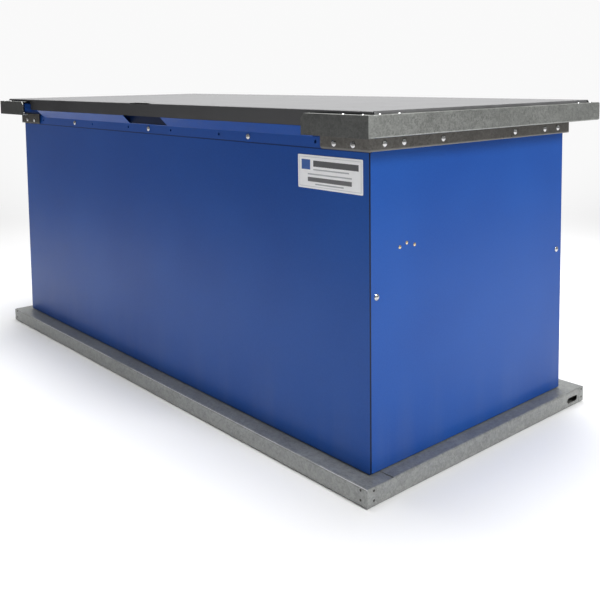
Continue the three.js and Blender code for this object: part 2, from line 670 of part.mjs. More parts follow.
// Head bracket: hangs from the lid beside the rod's eye, with a short stud that stops just clear of it.
function makeStrutHead(s) {
  const top = lidUnder - fit;
  const plateIn = s * (strutX - strutTubeRadius - strutHeadGap);
  const plateOut = plateIn + s * leafSheet;
  const studEnd = s * (strutX - strutEyeWidth / 2 - openPivotGap);
  const front = strutTopY - strutHeadHalf;
  const back = strutTopY + strutHeadHalf;
  return join(block(plateIn, plateOut, front, back, strutTopHeight - strutHeadDrop, top),
    block(plateOut, plateOut - s * strutHeadFlange, front, back, top - leafSheet, top),
    rod(pinRadius, [plateOut - s, strutTopY, strutTopHeight], [studEnd, strutTopY, strutTopHeight]));
}

// ---- carriage bolt with its nut, drawn with the head's seat at 0 and the head towards +Y ----
function makeBolt(grip) {
  const length = grip + nutHeight + boltPastNut;
  const dome = [1, 0.75, 0.45, 0].map((share) => new THREE.Vector2(boltHeadRadius * share,
    fit + boltHeadRim + (boltHeadHeight - boltHeadRim) * Math.sqrt(1 - share * share)));
  const profile = [new THREE.Vector2(0, -length), new THREE.Vector2(boltRadius, -length),
    new THREE.Vector2(boltRadius, fit), new THREE.Vector2(boltHeadRadius, fit), ...dome];
  const nut = rod(nutRadius, [0, -grip - fit, 0], [0, -grip - fit - nutHeight, 0], 6);
  return join(new THREE.LatheGeometry(profile, 16), nut);
}

function placeBolt(name, geometry, position, direction) {
  const bolt = mesh(name, geometry, zinc);
  bolt.position.set(...position);
  bolt.quaternion.setFromUnitVectors(new THREE.Vector3(0, 1, 0), new THREE.Vector3(...direction));
  return bolt;
}

function makeBolts() {
  const group = new THREE.Group();
  const lipBolt = makeBolt(2 * wallSheet + fit);
  lipBoltXs.forEach((x, i) => {
    group.add(placeBolt(`front_lip_bolt_${i + 1}`, lipBolt, [x, lipFace, lipBoltHeight], [0, -1, 0]));
  });
  for (const [side, s] of sides) {
    rimBoltXs.forEach((x, i) => {
      const grip = rimStandoffFront + wallSheet + (x > innerLength - postLeg ? fit + postSheet : 0);
      group.add(placeBolt(`rim_bolt_${side}_${i + 1}`, makeBolt(grip), [s * x, rimFront, lipBoltHeight],
        [0, -1, 0]));
    });
    for (const [face, t] of [['front', -1], ['back', 1]]) {
      const y = t * (halfDepth - postBoltInset);
      group.add(placeBolt(`post_bolt_${face}_${side}`, makeBolt(wallSheet + fit + postSheet),
        [s * halfLength, y, postBoltHeight], [s, 0, 0]));
    }
  }
  return group;
}

// ---- assembly ----
const box = new THREE.Group();
box.add(makeBase(), makeWalls(), makeRim(), makeBolts());
box.add(mesh('latch_keeper', makeKeeper(), zinc));
box.add(mesh('label_plate', makeLabel(), labelFilm));

const lid = makeLid();
lid.add(mesh('latch_housing', makeLatchHousing(), galvanised));
lid.add(mesh('latch_pin', rod(pinRadius, [latchX - latchBore, latchY, latchPivotHeight],
  [latchX + latchBore, latchY, latchPivotHeight]), zinc));
lid.add(mesh('latch_lever', makeLatchLever(), galvanised));

hingeNames.forEach((name, i) => {
  const x = hingeX(i);
  box.add(mesh(`hinge_${name}_body_leaf`, makeBodyLeaf(x), galvanised));
  box.add(mesh(`hinge_${name}_pin`, rod(pinRadius, [x - hingeWidth / 2 - over, hingeY, hingeZ],
    [x + hingeWidth / 2 + over, hingeY, hingeZ]), zinc));
  lid.add(mesh(`hinge_${name}_lid_leaf`, makeLidLeaf(x), galvanised));
});

for (const [side, s] of sides) {
  const strut = new THREE.Group();
  strut.position.set(s * strutX, strutFootY, strutFootHeight);
  strut.rotation.x = strutAngle;
  strut.add(mesh(`${side}_strut_tube`, makeStrutTube(), blackPaint));
  strut.add(mesh(`${side}_strut_rod`, makeStrutRod(), zinc));
  box.add(strut, mesh(`${side}_strut_foot`, makeStrutFoot(s), galvanised));
  lid.add(mesh(`${side}_strut_head`, makeStrutHead(s), galvanised));
}

// The origin is the middle of the footprint, at the ground.
const part = new THREE.Group();
part.add(box, lid);
part.updateMatrixWorld(true);
const extent = new THREE.Box3().setFromObject(part, true);
part.position.set(-(extent.min.x + extent.max.x) / 2, -(extent.min.y + extent.max.y) / 2, -extent.min.z);

export default part;
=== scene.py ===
import json
import math

import bmesh
import bpy
import numpy as np
from mathutils import Matrix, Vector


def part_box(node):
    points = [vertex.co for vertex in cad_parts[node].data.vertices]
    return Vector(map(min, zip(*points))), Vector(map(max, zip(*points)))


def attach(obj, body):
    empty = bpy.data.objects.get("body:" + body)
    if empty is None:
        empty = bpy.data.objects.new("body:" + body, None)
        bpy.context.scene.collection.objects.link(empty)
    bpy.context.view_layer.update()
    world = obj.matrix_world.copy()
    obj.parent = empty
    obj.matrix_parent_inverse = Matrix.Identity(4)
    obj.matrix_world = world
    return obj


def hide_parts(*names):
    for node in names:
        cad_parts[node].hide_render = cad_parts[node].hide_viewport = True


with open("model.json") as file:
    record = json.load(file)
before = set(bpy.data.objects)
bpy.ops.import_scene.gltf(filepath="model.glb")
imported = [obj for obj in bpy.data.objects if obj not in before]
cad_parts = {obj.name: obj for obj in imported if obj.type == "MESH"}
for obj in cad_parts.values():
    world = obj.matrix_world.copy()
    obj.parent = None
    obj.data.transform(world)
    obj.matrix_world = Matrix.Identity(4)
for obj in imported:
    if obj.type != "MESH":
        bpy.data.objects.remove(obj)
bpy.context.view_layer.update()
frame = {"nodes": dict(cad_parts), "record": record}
bodyOf = {node: body for body, nodes in frame["record"]["behaviour"]["bodies"].items() for node in nodes}
slotOf = {part["node"]: part["material_slot"] for part in frame["record"]["subparts"]}
mm = 0.001
print("frame loaded:", len(frame["nodes"]), "nodes")

# faces that finishes, bolts and rivets are placed by
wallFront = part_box("front_panel")[0][1]
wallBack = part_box("back_panel")[1][1]
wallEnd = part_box("right_end_panel")[1][0]
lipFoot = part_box("front_lip")[0][2]
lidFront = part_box("lid_sheet")[0][1]
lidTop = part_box("lid_sheet")[1][2]
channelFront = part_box("lid_right_channel")[0][1]
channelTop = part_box("lid_right_channel")[1][2]
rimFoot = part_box("right_rim_strip")[0][2]
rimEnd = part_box("right_rim_strip")[1][0]
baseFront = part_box("base_front_channel")[0][1]
baseEnd, baseBack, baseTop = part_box("base_right_channel")[1]


class Signal:
    # a shader socket; an expression on signals adds its Math nodes
    def __init__(self, paint, socket):
        self.paint = paint
        self.socket = socket

    def math(self, operation, first, second):
        return self.paint.node("Math", {"operation": operation}, [first, second])

    def __add__(self, other):
        return self.math("ADD", self, other)

    __radd__ = __add__

    def __sub__(self, other):
        return self.math("SUBTRACT", self, other)

    def __rsub__(self, other):
        return self.math("SUBTRACT", other, self)

    def __mul__(self, other):
        return self.math("MULTIPLY", self, other)

    __rmul__ = __mul__

    def __truediv__(self, other):
        return self.math("DIVIDE", self, other)

    def __gt__(self, other):
        return self.math("GREATER_THAN", self, other)

    def __lt__(self, other):
        return self.math("LESS_THAN", self, other)

    def size(self):
        return self.math("ABSOLUTE", self, 0.0)


class Paint:
    # one material, built from signals
    def __init__(self, name):
        self.material = bpy.data.materials.new(name)
        self.material.use_nodes = True
        self.tree = self.material.node_tree
        self.shader = self.tree.nodes["Principled BSDF"]
        self.place = self.node("TexCoord", output="Object")

    # settings come first, because some of them rename a node's sockets
    def node(self, kind, settings=None, inputs=None, output=0):
        made = self.tree.nodes.new("ShaderNode" + kind)
        for key, value in (settings or {}).items():
            setattr(made, key, value)
        pairs = inputs.items() if isinstance(inputs, dict) else enumerate(inputs or [])
        for key, value in pairs:
            self.feed(made.inputs[key], value)
        return Signal(self, made.outputs[output])

    def feed(self, socket, value):
        if isinstance(value, Signal):
            self.tree.links.new(value.socket, socket)
        else:
            socket.default_value = value

    def axes(self):
        split = self.node("SeparateXYZ", None, [self.place])
        return [Signal(self, socket) for socket in split.socket.node.outputs]

    def stretched(self, scale):
        return self.node("Mapping", None, {"Vector": self.place, "Scale": scale})

    def noise(self, scale, detail=3.0, rough=0.55, place=None):
        inputs = {"Vector": place or self.place, "Scale": scale, "Detail": detail, "Roughness": rough}
        return self.node("TexNoise", None, inputs)

    # each cell of the crystal pattern has one random grey
    def crystals(self, scale, place):
        cells = self.node("TexVoronoi", None, {"Vector": place, "Scale": scale}, "Color")
        return self.node("SeparateColor", None, [cells])

    # 0 at low, 1 at high, with a smooth step between
    def step(self, value, low, high):
        inputs = {"Value": value, "From Min": low, "From Max": high}
        return self.node("MapRange", {"interpolation_type": "SMOOTHSTEP"}, inputs)

    # the Mix node's colours are its inputs 6 and 7 and its output 2
    def tint(self, mask, first, second):
        colours = [(*value, 1.0) if isinstance(value, tuple) else value for value in (first, second)]
        return self.node("Mix", {"data_type": "RGBA"}, {0: mask, 6: colours[0], 7: colours[1]}, 2)

    def bump(self, height, depth, strength, under=None):
        inputs = {"Height": height, "Distance": depth, "Strength": strength}
        if under:
            inputs["Normal"] = under
        return self.node("Bump", None, inputs)

    def finish(self, **sockets):
        labels = {"Base": "Base Color", "Specular": "Specular IOR Level", "CoatWeight": "Coat Weight",
                  "CoatRoughness": "Coat Roughness"}
        for name, value in sockets.items():
            self.feed(self.shader.inputs[labels.get(name, name)], value)
        return self.material


bluePaint = {
    "deep": (0.008, 0.060, 0.29), "light": (0.011, 0.076, 0.34), "cloudScale": 1.7,
    "grainDeep": (0.0, 0.02, 0.14), "grainLight": (0.06, 0.18, 0.6), "grainScale": 260.0, "grain": 0.12,
    "dust": (0.30, 0.31, 0.33), "dustFrom": 0.05, "dustTo": 0.34, "dustLow": 0.06, "dustStreak": 0.015,
    "streakScale": 9.0, "streakSquash": 0.08,
    "rough": 0.25, "specular": 0.17, "coat": 0.03, "coatRough": 0.2,
    "peelScale": 650.0, "peelDepth": 0.06 * mm, "waveScale": 2.6, "waveDepth": 1.2 * mm,
}
# lines of painted shade are measured from the front wall's face, the end walls' faces and the lip's foot
paintedShade = {
    "colour": (0.002, 0.003, 0.008), "wallDeep": 12.05 * mm, "underLip": 3.5 * mm,
    "seamBehind": 3.05 * mm, "seamHalf": 2.8 * mm, "seamInside": 3.0 * mm,
    "notchUp": 23.0 * mm, "notchFade": 12.0 * mm, "notchHalf": 140.0 * mm, "lipGap": 0.45 * mm,
    "lipDark": 0.65, "seamDark": 0.95, "notchDark": 0.85,
}


def makeBluePaint(name, settings):
    paint = Paint(name)
    x, y, z = paint.axes()
    cloud = paint.step(paint.noise(settings["cloudScale"], 2.0), 0.3, 0.7)
    grain = paint.noise(settings["grainScale"], 2.0)
    colour = paint.tint(cloud, settings["deep"], settings["light"])
    colour = paint.tint(settings["grain"], colour,
                        paint.tint(grain, settings["grainDeep"], settings["grainLight"]))
    # dust gathers low down and fades out upwards; streaks of it run down
    streaks = paint.noise(settings["streakScale"], 4.0, 0.6,
                          paint.stretched((1.0, 1.0, settings["streakSquash"])))
    low = 1.0 - paint.step(z, settings["dustFrom"], settings["dustTo"])
    dust = (low * paint.step(streaks, 0.35, 0.75) * settings["dustLow"]
            + paint.step(streaks, 0.62, 0.85) * settings["dustStreak"])
    colour = paint.tint(dust, colour, settings["dust"])
    # painted shade in the joints: a dark line below the lip's edge, and down the corners where the sheets
    # meet
    onFront = y < wallFront + paintedShade["wallDeep"]
    underLip = (z < lipFoot) * (z > lipFoot - paintedShade["underLip"]) * onFront
    seam = (y - (wallFront + paintedShade["seamBehind"])).size() < paintedShade["seamHalf"]
    corner = seam * (x.size() > wallEnd - paintedShade["seamInside"])
    # behind the hand notch the paint is darkened as painted shade under the lid
    notchShadeFrom = lipFoot + paintedShade["notchUp"]
    notchShade = paint.step(z, notchShadeFrom, notchShadeFrom + paintedShade["notchFade"]) * (x.size() < paintedShade["notchHalf"])
    behindNotch = notchShade * onFront * (y > wallFront - paintedShade["lipGap"])
    paintedShadeAmount = underLip * paintedShade["lipDark"] + corner * paintedShade["seamDark"] + behindNotch * paintedShade["notchDark"]
    colour = paint.tint(paintedShadeAmount, colour, paintedShade["colour"])
    rough = settings["rough"] + 0.12 * paint.noise(5.0, 4.0) + 0.35 * dust
    peel = paint.bump(paint.noise(settings["peelScale"], 1.0), settings["peelDepth"], 0.6)
    # long soft waves of thin sheet
    waves = paint.bump(paint.noise(settings["waveScale"], 1.0), settings["waveDepth"], 0.25, peel)
    return paint.finish(Base=colour, Roughness=rough, Normal=waves, Specular=settings["specular"],
                        CoatWeight=settings["coat"], CoatRoughness=settings["coatRough"])


# top: height above which the sheet lies flat and is dull; front: y in front of which painted shade darkens
# it;
# hem: height below which a painted highlight lightens it; nowhere is far off the object
nowhere = 9.0
galvanised = {
    "dark": (0.23, 0.235, 0.23), "light": (0.40, 0.41, 0.395), "stain": (0.20, 0.19, 0.17),
    "metallic": 0.5, "specular": 0.5, "rough": 0.36, "grazing": 0.6,
    "cellScale": 85.0, "fineScale": 210.0, "contrast": 1.0,
    "top": nowhere, "front": -nowhere, "hem": -nowhere, "dull": 0.0, "dullColour": (0.12, 0.12, 0.12),
    "shade": (0.04, 0.04, 0.042), "hemHighlight": (0.42, 0.41, 0.39),
}
# the base frame's front bend gets a painted highlight in patches, and its ends lap over one another at the
# far corners
baseMarks = {
    "bendHighlight": (0.85, 0.85, 0.87), "bendBelow": 1.6 * mm, "bendAbove": 1.2 * mm, "bendBehind": 2.55 * mm,
    "lap": (0.02, 0.02, 0.02), "lapInset": 24.95 * mm, "lapHalf": 1.0 * mm, "lapBelow": 0.3 * mm,
    "lapInside": 0.8 * mm,
}


def makeGalvanised(name, settings):
    paint = Paint(name)
    x, y, z = paint.axes()
    flat = z > settings["top"]
    wander = {"Vector": paint.noise(28.0, 2.0), "Scale": 0.012}
    warp = paint.node("VectorMath", {"operation": "SCALE"}, wander)
    place = paint.node("VectorMath", {"operation": "ADD"}, [paint.place, warp])
    big = paint.crystals(settings["cellScale"], place)
    small = paint.crystals(settings["fineScale"], place)
    cells = 0.45 * big + 0.55 * small
    cloud = paint.step(paint.noise(6.0, 4.0, 0.6), 0.3, 0.75)
    mottle = 0.5 + settings["contrast"] * (0.85 * (cells - 0.5) + 0.14 * (cloud - 0.5))
    colour = paint.tint(mottle, settings["dark"], settings["light"])
    # a painted highlight on the hem below the given height, and painted shade on faces in front of the
    # given y
    colour = paint.tint((z < settings["hem"]) * 0.5, colour, settings["hemHighlight"])
    colour = paint.tint((y < settings["front"]) * 0.66, colour, settings["shade"])
    colour = paint.tint(flat * settings["dull"], colour, settings["dullColour"])
    # a painted highlight along the base's front bend
    bend = (z > baseTop - baseMarks["bendBelow"]) * (z < baseTop + baseMarks["bendAbove"])
    frontBend = bend * (y < baseFront + baseMarks["bendBehind"])
    bendHighlight = frontBend * paint.step(paint.noise(5.0, 2.0), 0.25, 0.5)
    colour = paint.tint(bendHighlight, colour, baseMarks["bendHighlight"])
    lapLine = (y - (baseBack - baseMarks["lapInset"])).size() < baseMarks["lapHalf"]
    lap = lapLine * (z < baseTop - baseMarks["lapBelow"]) * (x.size() > baseEnd - baseMarks["lapInside"])
    colour = paint.tint(lap * 0.85, colour, baseMarks["lap"])
    # handling marks and white rust in small patches
    patches = paint.step(paint.noise(4.0, 2.0), 0.5, 0.7)
    marks = paint.step(paint.noise(34.0, 5.0, 0.65), 0.66, 0.78) * patches
    colour = paint.tint(marks * 0.5, colour, settings["stain"])
    rough = settings["rough"] + 0.16 * (cells - 0.5) + 0.12 * cloud + 0.2 * marks
    relief = paint.bump(big, 0.05 * mm, 0.35)
    rolled = paint.bump(paint.noise(420.0, 2.0), 0.04 * mm, 0.3, relief)
    paint.shader.inputs["Specular Tint"].default_value = (*[settings["grazing"]] * 3, 1.0)
    metallic = settings["metallic"] - flat * (settings["metallic"] - 0.1)
    return paint.finish(Base=colour, Roughness=rough + 0.2 * flat, Metallic=metallic, Normal=rolled,
                        Specular=settings["specular"])


zinc = {"colour": (0.56, 0.56, 0.56), "tarnish": (0.3, 0.29, 0.27), "rough": 0.2}


def makeZinc(name, settings):
    paint = Paint(name)
    patch = paint.step(paint.noise(240.0, 3.0), 0.45, 0.8)
    colour = paint.tint(patch * 0.6, settings["colour"], settings["tarnish"])
    fine = paint.bump(paint.noise(1500.0, 1.0), 0.02 * mm, 0.4)
    return paint.finish(Base=colour, Roughness=settings["rough"] + 0.2 * patch, Metallic=1.0, Normal=fine)


blackPaint = {"colour": (0.012, 0.012, 0.013), "worn": (0.05, 0.05, 0.05), "rough": 0.3, "coat": 0.15}


def makeBlackPaint(name, settings):
    paint = Paint(name)
    wear = paint.step(paint.noise(60.0, 5.0, 0.65), 0.58, 0.75)
    colour = paint.tint(wear * 0.5, settings["colour"], settings["worn"])
    fine = paint.bump(paint.noise(900.0, 1.0), 0.03 * mm, 0.5)
    return paint.finish(Base=colour, Roughness=settings["rough"] + 0.25 * wear, Normal=fine,
                        CoatWeight=settings["coat"])


rubber = {"colour": (0.016, 0.016, 0.017), "bloom": (0.07, 0.07, 0.072), "rough": 0.72}


def makeRubber(name, settings):
    paint = Paint(name)
    bloom = paint.step(paint.noise(22.0, 5.0, 0.6), 0.45, 0.8)
    colour = paint.tint(bloom * 0.5, settings["colour"], settings["bloom"])
    fine = paint.bump(paint.noise(700.0, 2.0), 0.1 * mm, 0.5)
    return paint.finish(Base=colour, Roughness=settings["rough"] + 0.15 * bloom, Normal=fine)


# the lid's front flange, in front of the given y, is darkened as painted shade
lidSteel = {**galvanised, "dark": (0.24, 0.24, 0.245), "light": (0.34, 0.34, 0.345), "metallic": 0.85,
            "rough": 0.42, "cellScale": 60.0, "specular": 0.1, "contrast": 0.5, "grazing": 0.2,
            "dull": 0.35, "top": lidTop - 1.2 * mm, "front": lidFront + 1.85 * mm}
trimSteel = {**galvanised, "dark": (0.25, 0.26, 0.245), "light": (0.47, 0.48, 0.46), "metallic": 0.85,
             "rough": 0.34, "cellScale": 130.0, "fineScale": 300.0}
# the channels' front tabs are darkened as painted shade
channelSteel = {**trimSteel, "grazing": 0.4, "front": channelFront + 1.05 * mm}
# the rim strips take a darker copy of the trim steel as painted shade under the lid's channels, with a
# painted highlight on the hem
shadedRimSteel = {**trimSteel, "dark": (0.13, 0.125, 0.115), "light": (0.24, 0.23, 0.215), "grazing": 0.3,
            "hem": rimFoot + 5 * mm}
yellowZinc = {"colour": (0.72, 0.58, 0.36), "tarnish": (0.4, 0.3, 0.18), "rough": 0.24}
darkZincAndLeverShade = {"colour": (0.09, 0.085, 0.08), "tarnish": (0.04, 0.037, 0.033), "rough": 0.42}
rodChrome = {"colour": (0.56, 0.56, 0.58), "tarnish": (0.5, 0.5, 0.52), "rough": 0.2}

# finishes by the record's slots, and then those of single pieces; the label's is made with the label
finishes = {
    "blue_paint": makeBluePaint("satin_blue_paint", bluePaint),
    "galvanised_steel": makeGalvanised("spangled_steel", galvanised),
    "lid_steel": makeGalvanised("lid_sheet_steel", lidSteel),
    "zinc": makeZinc("bright_zinc_plate", zinc),
    "black_paint": makeBlackPaint("gloss_black_paint", blackPaint),
    "rubber": makeRubber("weathered_rubber", rubber),
}
channelTrim = makeGalvanised("channel_steel", channelSteel)
shadedRimTrim = makeGalvanised("rim_strip_shaded_steel", shadedRimSteel)
yellowPlate = makeZinc("yellow_zinc_plate", yellowZinc)
darkZincAndLeverShadePlate = makeZinc("dark_rivet_zinc_and_lever_shade", darkZincAndLeverShade)
polishedRod = makeZinc("polished_rod_chrome", rodChrome)
# the latch lever takes the dark rivet zinc as painted shade, because it shows only through the hand hole
trimOf = {"lid_left_channel": channelTrim, "lid_right_channel": channelTrim, "left_rim_strip": shadedRimTrim,
          "right_rim_strip": shadedRimTrim, "back_rim_strip": shadedRimTrim, "latch_lever": darkZincAndLeverShadePlate,
          "left_strut_rod": polishedRod, "right_strut_rod": polishedRod}
print("finishes ready:", len(finishes))

sharpAngle = 35.0  # degrees; flatter edges of new pieces are shaded smooth


def addPiece(name, points, faces, slot, body, material=None):
    mesh = bpy.data.meshes.new(name)
    rings = [list(map(int, face)) for face in faces]
    mesh.from_pydata(np.asarray(points).reshape(-1, 3).tolist(), [], rings)
    mesh.polygons.foreach_set("use_smooth", np.full(len(mesh.polygons), True))
    mesh.set_sharp_from_angle(angle=math.radians(sharpAngle))
    mesh.materials.append(material or finishes[slot])
    piece = bpy.data.objects.new(name, mesh)
    bpy.context.scene.collection.objects.link(piece)
    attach(piece, body)
    return piece


# quads between neighbouring points of a stack of closed rings
def ringFaces(rows, columns):
    i, j = np.meshgrid(np.arange(rows - 1), np.arange(columns), indexing="ij")
    k = (j + 1) % columns
    quads = np.stack([i * columns + j, i * columns + k, (i + 1) * columns + k, (i + 1) * columns + j], -1)
    return [tuple(face) for face in quads.reshape(-1, 4)]


# a stack of closed rings with a cap at each end; inward turns the faces of rings that run the other way
def cappedRings(points, inward=False):
    rows, columns = points.shape[:2]
    faces = ringFaces(rows, columns)
    faces.append(tuple(range(columns))[::-1])
    faces.append(tuple(range((rows - 1) * columns, rows * columns)))
    if inward:
        faces = [face[::-1] for face in faces]
    return points.reshape(-1, 3), faces


# a profile of radius and height turned about the z axis, with both ends on the axis:
# point = (radius cos angle, radius sin angle, height)
def turned(profile, sides):
    profile = np.asarray(profile, float)
    angle = np.arange(sides) / sides * 2 * np.pi
    radius = profile[:, :1]
    ring = np.stack([radius * np.cos(angle), radius * np.sin(angle), profile[:, 1:] + 0 * angle], -1)
    points = [ring.reshape(-1, 3), [[0, 0, profile[0, 1]], [0, 0, profile[-1, 1]]]]
    faces = ringFaces(len(profile), sides)
    bottom = len(profile) * sides
    top = bottom + 1
    last = bottom - sides
    for k in range(sides):
        faces.append((bottom, (k + 1) % sides, k))
        faces.append((top, last + k, last + (k + 1) % sides))
    return np.concatenate(points), faces


# turns z onto the given axis: point = x side + y up + z axis, then moves it to place;
# the helper is any direction that isn't close to the axis
def placed(points, place, axis):
    axis = np.asarray(axis, float) / np.linalg.norm(axis)
    helper = np.array([0.0, 0.0, 1.0]) if abs(axis[2]) < 0.9 else np.array([1.0, 0.0, 0.0])
    side = np.cross(helper, axis)
    side /= np.linalg.norm(side)
    up = np.cross(axis, side)
    return points @ np.stack([side, up, axis]) + np.asarray(place, float)


def together(shapes):
    points, faces, start = [], [], 0
    for shapePoints, shapeFaces in shapes:
        points.append(shapePoints)
        faces += [tuple(index + start for index in face) for face in shapeFaces]
        start += len(shapePoints)
    return np.concatenate(points), faces


# how nodes are redrawn: merging distance, edge widths, and angles in degrees
edges = {"merge": 0.001 * mm, "flat": 0.6, "sheetEdge": 0.35 * mm, "blockEdge": 0.4 * mm, "angle": 38.0}
sheetNodes = ["base_front_channel", "base_back_channel", "base_left_channel", "base_right_channel",
              "base_cross_member_1", "base_cross_member_2", "base_cross_member_3", "floor_panel",
              "front_panel", "back_panel", "left_end_panel", "right_end_panel",
              "corner_post_front_left", "corner_post_front_right", "corner_post_back_left",
              "corner_post_back_right", "front_lip", "back_rim_strip", "left_rim_strip", "right_rim_strip",
              "lid_sheet", "lid_left_channel", "lid_right_channel",
              "lid_stiffener_1", "lid_stiffener_2", "lid_stiffener_3"]
blockNodes = [node for node in frame["nodes"] if node not in sheetNodes
              and not any(word in node for word in ("bolt", "label", "seal", "_tube", "_rod"))]


# a merged copy of a node, with every edge broken a little and flat faces kept flat
def refinish(node, width):
    source = frame["nodes"][node].data
    points = np.zeros(len(source.vertices) * 3, np.float32)
    source.vertices.foreach_get("co", points)
    index = np.zeros(len(source.loops), np.int32)
    source.loops.foreach_get("vertex_index", index)
    keys = np.round(points.reshape(-1, 3) / edges["merge"]).astype(np.int64)
    first, inverse = np.unique(keys, axis=0, return_index=True, return_inverse=True)[1:]
    corners = inverse.reshape(-1)[index].reshape(-1, 3)
    a, b, c = corners.T
    whole = (a != b) & (b != c) & (a != c)
    piece = addPiece(node + "_skin", points.reshape(-1, 3)[first], corners[whole], slotOf[node],
                     bodyOf[node], trimOf.get(node))
    work = bmesh.new()
    work.from_mesh(piece.data)
    flatLimit = math.radians(edges["flat"])
    bmesh.ops.dissolve_limit(work, angle_limit=flatLimit, verts=work.verts, edges=work.edges)
    work.to_mesh(piece.data)
    work.free()
    piece.data.set_sharp_from_angle(angle=math.radians(edges["angle"]))
    bevel = piece.modifiers.new("edge", "BEVEL")
    bevel.width = width
    bevel.segments = 2
    bevel.limit_method = "ANGLE"
    bevel.angle_limit = math.radians(edges["angle"])
    flat = piece.modifiers.new("flat_faces", "WEIGHTED_NORMAL")
    flat.keep_sharp = False
    flat.weight = 100
    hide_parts(node)


for node in sheetNodes:
    refinish(node, edges["sheetEdge"])
for node in blockNodes:
    refinish(node, edges["blockEdge"])
for node in frame["nodes"]:
    material = trimOf.get(node) or finishes.get(slotOf[node], finishes["zinc"])
    frame["nodes"][node].data.materials.clear()
    frame["nodes"][node].data.materials.append(material)
print("folded pieces ready:", len(sheetNodes) + len(blockNodes))


bolt = {"headRadius": 8.8 * mm, "headHeight": 4.4 * mm, "headEdge": 0.7 * mm, "headSides": 40,
        "domeSteps": 9, "shank": 4.0 * mm, "thread": 0.35 * mm, "pitch": 1.25 * mm, "leadIn": 0.6 * mm,
        "past": 2.5 * mm, "shankSides": 24, "rowsPerPitch": 6, "washer": 1.2 * mm, "nutWide": 13.0 * mm,
        "nutHigh": 6.5 * mm, "nutSides": 48}


# a domed head: an edge of rim height, a little narrower at its foot, then an arc of a circle up to
# the top, where a tiny flat closes it
def domeProfile(radius, height, rim, steps):
    rise = height - rim
    ball = (radius ** 2 + rise ** 2) / (2 * rise)
    reach = math.asin(radius / ball)
    angle = np.linspace(reach, 0, steps + 1)[:-1]
    dome = np.stack([ball * np.sin(angle), rim + rise - ball + ball * np.cos(angle)], -1)
    return np.concatenate([[[radius * 0.94, 0.0], [radius, 0.12 * rim]], dome, [[radius * 0.02, height]]])


# a threaded shank: radius = shank - thread |saw(height / pitch + angle / 2 pi)|, less a lead-in at its end
def threadedShank(length):
    rows = max(int(length / bolt["pitch"] * bolt["rowsPerPitch"]), 8)
    height = np.linspace(0, length, rows)[:, None]
    angle = (np.arange(bolt["shankSides"]) / bolt["shankSides"] * 2 * np.pi)[None, :]
    turn = (height / bolt["pitch"] + angle / (2 * np.pi)) % 1.0
    lead = bolt["leadIn"] * (height < bolt["leadIn"])
    radius = bolt["shank"] - bolt["thread"] * np.abs(2 * turn - 1) - lead
    points = np.stack([radius * np.cos(angle), radius * np.sin(angle), height + 0 * angle], -1)
    return cappedRings(points)


# a hexagon nut: radius = the smaller of apothem / cos(angle to the nearest flat) and a chamfer cone;
# heights are shares of the nut's own
def hexNut(wide, high):
    angle = (np.arange(bolt["nutSides"]) / bolt["nutSides"] * 2 * np.pi)[None, :]
    toFlat = (angle + np.pi / 6) % (np.pi / 3) - np.pi / 6
    hexagon = wide / 2 / np.cos(toFlat)
    height = np.array([0, 0.04, 0.1, 0.2, 0.8, 0.9, 0.96, 1.0])[:, None]
    cone = wide / 2 * (0.98 + 1.6 * np.minimum(height, 1 - height))
    radius = np.minimum(hexagon, cone)
    points = np.stack([radius * np.cos(angle), radius * np.sin(angle), height * high + 0 * angle], -1)
    return cappedRings(points)


# a carriage bolt: domed head outside, threaded shank, washer and nut inside;
# place is under the head, and axis points outwards
def carriageBolt(place, axis, grip):
    axis = np.asarray(axis, float)
    place = np.asarray(place, float)
    dome = domeProfile(bolt["headRadius"], bolt["headHeight"], bolt["headEdge"], bolt["domeSteps"])
    head = turned(dome, bolt["headSides"])
    shankLength = grip + bolt["nutHigh"] + bolt["past"]
    washer = turned([[bolt["shank"], 0], [bolt["headRadius"], 0], [bolt["headRadius"], bolt["washer"]],
                     [bolt["shank"], bolt["washer"]]], bolt["headSides"])
    nut = hexNut(bolt["nutWide"], bolt["nutHigh"])
    under = grip + bolt["washer"]
    parts = [(head, 0.0), (threadedShank(shankLength), shankLength), (washer, under),
             (nut, under + bolt["nutHigh"])]
    return together([(placed(points, place - axis * depth, axis), faces)
                     for (points, faces), depth in parts])


# every bolt points away from the object's middle
boltNodes = [node for node in frame["nodes"] if "bolt" in node]
for node in boltNodes:
    low, high = (np.array(corner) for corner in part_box(node))
    middle = (low + high) / 2
    length = high - low
    way = int(np.argmax(length))
    axis = np.zeros(3)
    axis[way] = np.sign(middle[way])
    outside = middle + axis * (length[way] / 2 - bolt["headHeight"])
    grip = length[way] - bolt["headHeight"] - bolt["nutHigh"] - bolt["past"] - bolt["washer"]
    piece = addPiece(node + "_turned", *carriageBolt(outside, axis, grip), "zinc", bodyOf[node])
    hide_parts(node)

# the rim strips' bolts on each end: places along the wall from its middle, and height above the
# strip's foot, in millimetres
rimBolts = {"places": (-398, -325, -167, 167, 325, 398), "up": 19.0, "stands": 0.2, "postFrom": 380,
            "postGrip": 6.0, "wallGrip": 2.6}
wallMiddle = (wallFront + wallBack) / 2
for side, name in ((1, "right"), (-1, "left")):
    shapes = []
    for place in rimBolts["places"]:
        inPost = abs(place) > rimBolts["postFrom"]
        grip = rimEnd - wallEnd + (rimBolts["postGrip"] if inPost else rimBolts["wallGrip"]) * mm
        start = [side * (rimEnd + rimBolts["stands"] * mm), wallMiddle + place * mm,
                 rimFoot + rimBolts["up"] * mm]
        shapes.append(carriageBolt(start, [side, 0, 0], grip))
    addPiece("rim_end_bolts_" + name, *together(shapes), "zinc", "box")
print("bolts ready:", len(boltNodes), "and", 2 * len(rimBolts["places"]))


